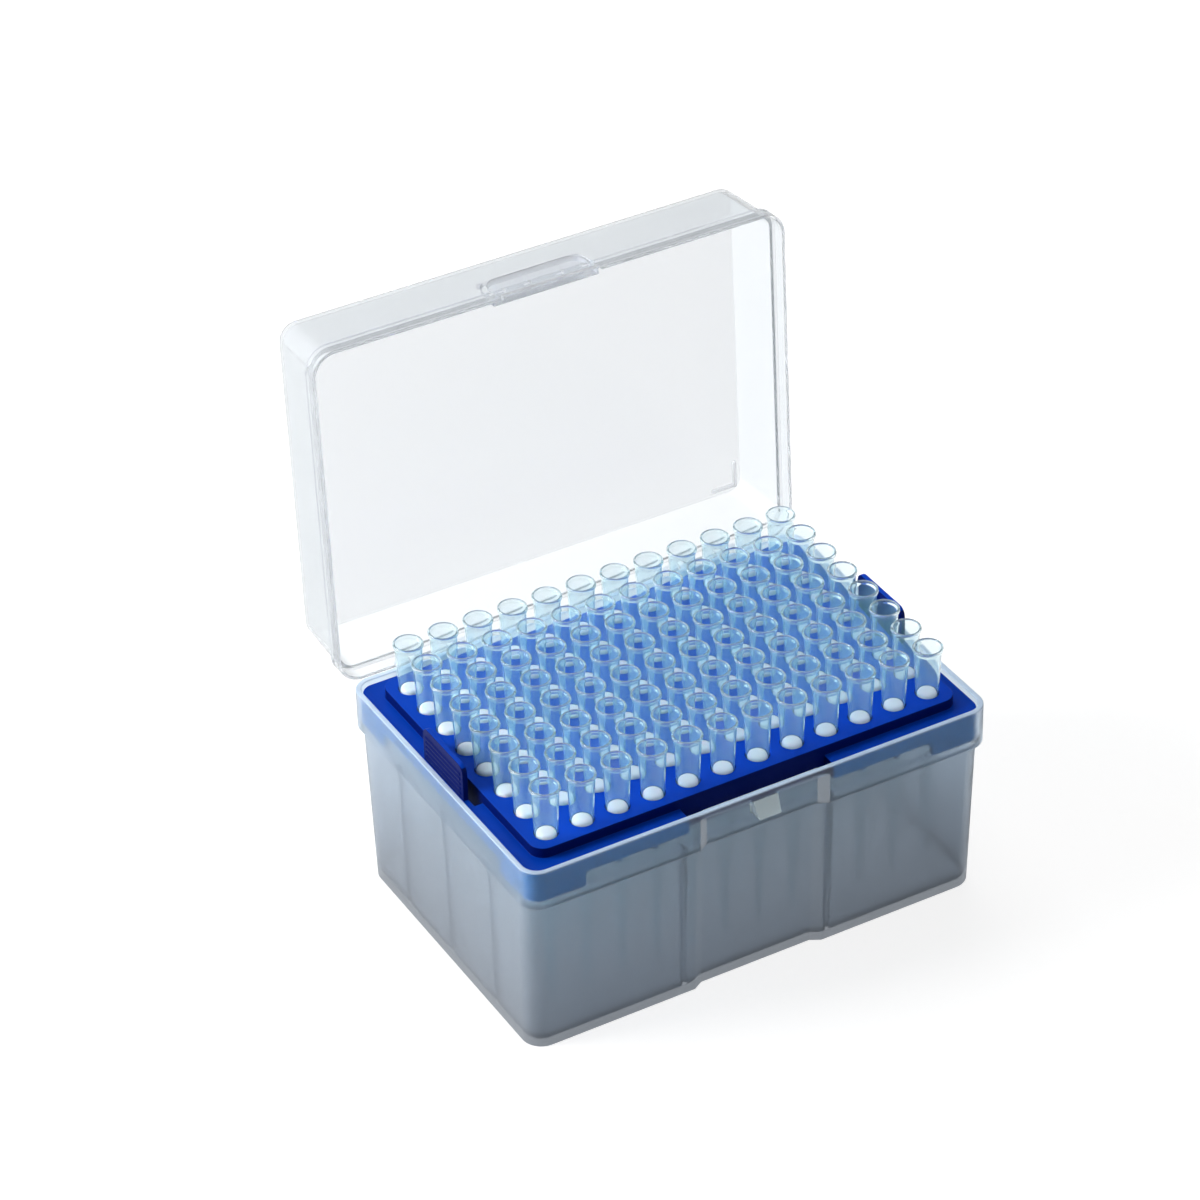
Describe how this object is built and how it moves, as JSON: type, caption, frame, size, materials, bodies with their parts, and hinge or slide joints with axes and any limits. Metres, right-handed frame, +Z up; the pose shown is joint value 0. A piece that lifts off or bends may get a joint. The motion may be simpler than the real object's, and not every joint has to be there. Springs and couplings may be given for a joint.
{
  "type": "pipette tip box",
  "caption": "Hinged frosted box with a clear lid standing open, holding a full grid of filtered pipette tips upright in a blue lift-out rack.",
  "frame": {"origin": "centre of the flat underside of the box", "axes": "X runs along the long side of the box; +Y points from the catch to the hinge; +Z points up"},
  "size_m": [0.122, 0.1135, 0.1364],
  "materials": {
    "frosted_box": "frosted translucent polypropylene",
    "blue_rack": "opaque blue polypropylene, satin",
    "clear_lid": "clear polypropylene, faintly hazy",
    "clear_tip": "clear polypropylene, smooth",
    "white_filter": "white porous polyethylene"
  },
  "bodies": {
    "box": {"base": "frosted_box", "rack": "blue_rack", "tips_column_01": "clear_tip", "tips_column_02": "clear_tip", "tips_column_03": "clear_tip", "tips_column_04": "clear_tip", "tips_column_05": "clear_tip", "tips_column_06": "clear_tip", "tips_column_07": "clear_tip", "tips_column_08": "clear_tip", "tips_column_09": "clear_tip", "tips_column_10": "clear_tip", "tips_column_11": "clear_tip", "tips_column_12": "clear_tip", "filters_column_01": "white_filter", "filters_column_02": "white_filter", "filters_column_03": "white_filter", "filters_column_04": "white_filter", "filters_column_05": "white_filter", "filters_column_06": "white_filter", "filters_column_07": "white_filter", "filters_column_08": "white_filter", "filters_column_09": "white_filter", "filters_column_10": "white_filter", "filters_column_11": "white_filter", "filters_column_12": "white_filter"},
    "lid": {"lid": "clear_lid"}
  },
  "joints": [
    {"name": "lid_hinge", "type": "hinge", "parent": "box", "child": "lid", "pos_m": [0, 0.0445, 0.0487], "axis": [1, 0, 0], "range_deg": [0, 92.6]}
  ]
}
